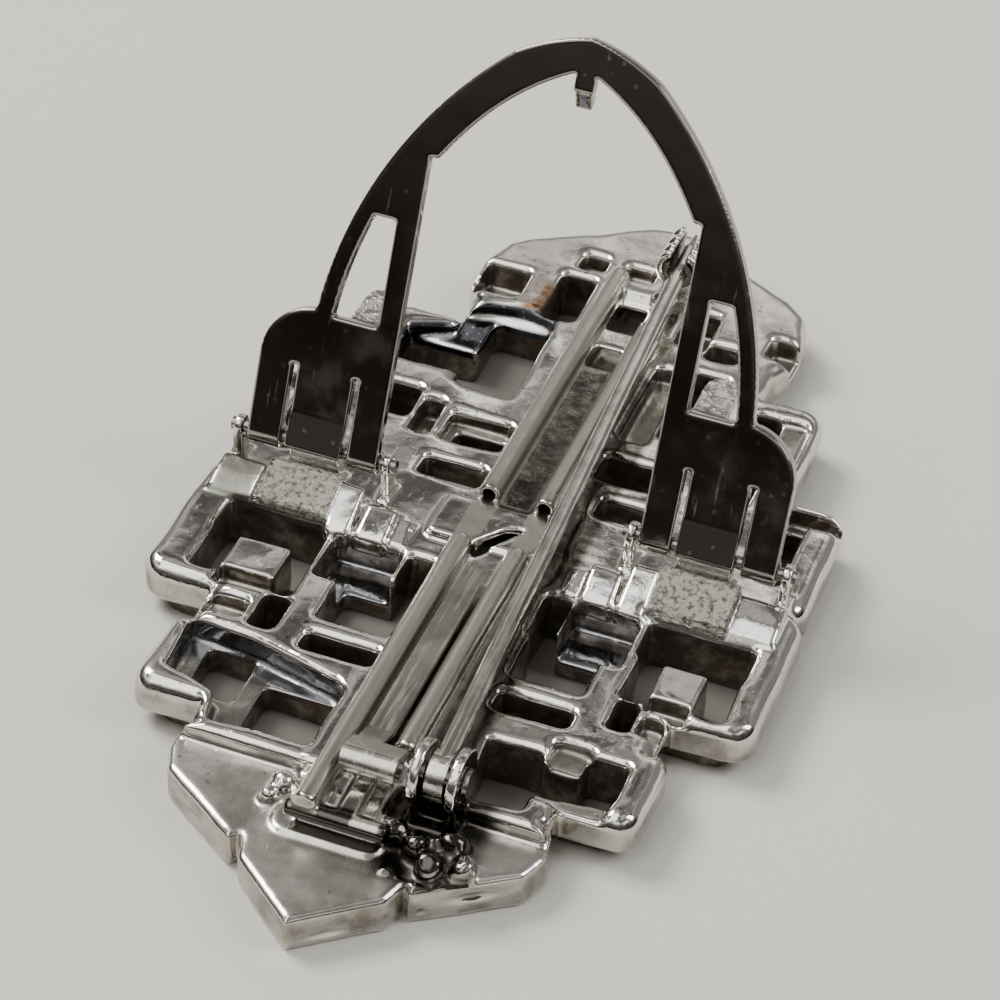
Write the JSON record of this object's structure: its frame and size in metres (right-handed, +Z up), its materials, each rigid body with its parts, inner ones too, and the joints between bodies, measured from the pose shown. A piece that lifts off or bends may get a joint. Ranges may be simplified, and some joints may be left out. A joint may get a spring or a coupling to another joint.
{
  "type": "dress clip",
  "caption": "Pierced, stepped cast dress clip lying face down, with a hinged pointed-arch clip frame standing open, a rail track, a brooch pin and its catch.",
  "frame": {"origin": "centre of the bounding box in plan, on the surface that the face-down body rests on", "axes": "+Z up from the surface through the back of the clip, +Y along the body from the pointed tip to the round top, +X to the right seen from the tip with the back up"},
  "size_m": [0.0352, 0.0625, 0.0298],
  "materials": {
    "casting": "bright rhodium-coloured plate over a cast body, satin and cloudy in places",
    "clip_frame": "polished sheet, dark mirror",
    "rod": "dull wire",
    "slide_plate": "plated strip",
    "pin_stem": "drawn wire, plated",
    "catch": "worn plate"
  },
  "bodies": {
    "body": {"casting": "casting", "hinge_rod_left": "rod", "hinge_rod_right": "rod", "slide_plate": "slide_plate", "pin_rivet": "rod"},
    "frame": {"clip_frame": "clip_frame"},
    "pin": {"pin_stem": "pin_stem"},
    "roller": {"catch_roller": "catch"}
  },
  "joints": [
    {"name": "clip_frame_hinge", "type": "hinge", "parent": "body", "child": "frame", "pos_m": [0, -0.00003, 0.00537], "axis": [-1, 0, 0], "range_deg": [0, 58]},
    {"name": "pin_hinge", "type": "hinge", "parent": "body", "child": "pin", "pos_m": [0.0043, -0.0212, 0.0049], "axis": [1, 0, 0], "range_deg": [0, 32]},
    {"name": "catch_turn", "type": "hinge", "parent": "body", "child": "roller", "pos_m": [0.0019, 0.0254, 0.0054], "axis": [0, 1, 0], "range_deg": [-80, 0]}
  ]
}
